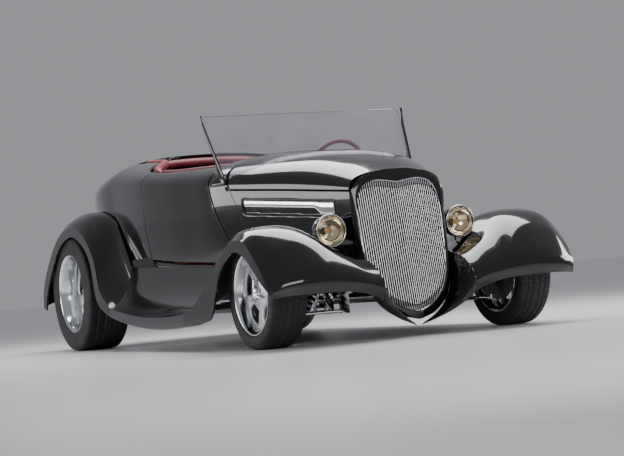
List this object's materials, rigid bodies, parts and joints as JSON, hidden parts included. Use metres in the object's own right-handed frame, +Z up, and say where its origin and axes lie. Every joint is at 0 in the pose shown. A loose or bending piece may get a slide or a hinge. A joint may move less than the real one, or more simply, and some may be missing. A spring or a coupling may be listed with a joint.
{
  "type": "street rod roadster",
  "caption": "Low open two-seat street rod with fendered body, V-shaped barred grille, running boards, tinted frameless screen, opening doors, hood and trunk lid, and steered front wheels.",
  "frame": {"origin": "on the ground, centred between the car's ends and sides", "axes": "+X forward to the grille, +Y to the car's left, +Z up"},
  "size_m": [3.816, 1.7562, 1.2615],
  "materials": {
    "black_paint": "gloss",
    "engine_iron": "satin",
    "bright_steel": "polished",
    "axle_steel": "satin",
    "wheel_alloy": "satin",
    "tyre_rubber": "matt",
    "tinted_glass": "clear tint",
    "amber_glass": "clear amber",
    "red_plastic": "clear red",
    "burgundy_leather": "satin",
    "wheel_rim_leather": "satin"
  },
  "bodies": {
    "chassis": {"frame_rails": "black_paint", "engine_block": "engine_iron", "floor_pan": "black_paint", "rockers": "black_paint", "wheelhouses": "black_paint", "firewall": "black_paint", "body_tub": "black_paint", "rear_deck": "black_paint", "cowl": "black_paint", "dashboard": "burgundy_leather", "hood_side_right": "black_paint", "hood_side_left": "black_paint", "vent_trims": "bright_steel", "grille_shell": "black_paint", "grille_bars": "bright_steel", "front_apron": "black_paint", "front_fender_right": "black_paint", "front_fender_left": "black_paint", "running_board_right": "black_paint", "running_board_left": "black_paint", "rear_fender_right": "black_paint", "rear_fender_left": "black_paint", "rear_pan": "black_paint", "windshield_glass": "tinted_glass", "windshield_posts": "black_paint", "headlight_buckets": "black_paint", "headlight_lenses": "amber_glass", "taillights": "red_plastic", "seat_base": "burgundy_leather", "seat_back": "burgundy_leather", "steering_column": "bright_steel", "steering_wheel": "wheel_rim_leather", "front_suspension": "bright_steel", "rear_axle": "axle_steel", "exhaust_pipes": "bright_steel"},
    "door_right": {"door_right": "black_paint", "door_panel_right": "burgundy_leather"},
    "door_left": {"door_left": "black_paint", "door_panel_left": "burgundy_leather"},
    "hood": {"hood_top": "black_paint"},
    "trunk": {"trunk_lid": "black_paint"},
    "knuckle_right": {"knuckle_right": "axle_steel"},
    "knuckle_left": {"knuckle_left": "axle_steel"},
    "rack": {"tie_rod": "bright_steel"},
    "front_wheel_right": {"front_rim_right": "wheel_alloy", "front_tyre_right": "tyre_rubber"},
    "front_wheel_left": {"front_rim_left": "wheel_alloy", "front_tyre_left": "tyre_rubber"},
    "rear_wheel_right": {"rear_rim_right": "wheel_alloy", "rear_tyre_right": "tyre_rubber"},
    "rear_wheel_left": {"rear_rim_left": "wheel_alloy", "rear_tyre_left": "tyre_rubber"}
  },
  "joints": [
    {"name": "door_right_hinge", "type": "hinge", "parent": "chassis", "child": "door_right", "pos_m": [-0.285, -0.68, 0.75], "axis": [0, 0, -1], "range_deg": [0, 60]},
    {"name": "door_left_hinge", "type": "hinge", "parent": "chassis", "child": "door_left", "pos_m": [-0.285, 0.68, 0.75], "axis": [0, 0, 1], "range_deg": [0, 60]},
    {"name": "hood_hinge", "type": "hinge", "parent": "chassis", "child": "hood", "pos_m": [0.655, 0, 1.045], "axis": [0, -1, 0], "range_deg": [0, 45]},
    {"name": "trunk_hinge", "type": "hinge", "parent": "chassis", "child": "trunk", "pos_m": [-0.915, 0, 1.175], "axis": [0, 1, 0], "range_deg": [0, 45]},
    {"name": "steer_right", "type": "hinge", "parent": "chassis", "child": "knuckle_right", "pos_m": [1.458, -0.585, 0.285], "axis": [0, 0, 1], "range_deg": [-18, 18]},
    {"name": "steer_left", "type": "hinge", "parent": "chassis", "child": "knuckle_left", "pos_m": [1.458, 0.585, 0.285], "axis": [0, 0, 1], "range_deg": [-18, 18]},
    {"name": "rack_slide", "type": "slide", "parent": "chassis", "child": "rack", "axis": [0, 1, 0], "range_m": [-0.0375, 0.0375]},
    {"name": "front_right_spin", "type": "hinge", "parent": "knuckle_right", "child": "front_wheel_right", "pos_m": [1.458, -0.702, 0.285], "axis": [0, 1, 0], "continuous": true},
    {"name": "front_left_spin", "type": "hinge", "parent": "knuckle_left", "child": "front_wheel_left", "pos_m": [1.458, 0.702, 0.285], "axis": [0, 1, 0], "continuous": true},
    {"name": "rear_right_spin", "type": "hinge", "parent": "chassis", "child": "rear_wheel_right", "pos_m": [-1.387, -0.66, 0.365], "axis": [0, 1, 0], "continuous": true},
    {"name": "rear_left_spin", "type": "hinge", "parent": "chassis", "child": "rear_wheel_left", "pos_m": [-1.387, 0.66, 0.365], "axis": [0, 1, 0], "continuous": true}
  ],
  "couplings": [
    {"joint": "steer_left", "follows": "steer_right", "ratio": 1},
    {"joint": "rack_slide", "follows": "steer_right", "m_per_rad": -0.118}
  ]
}
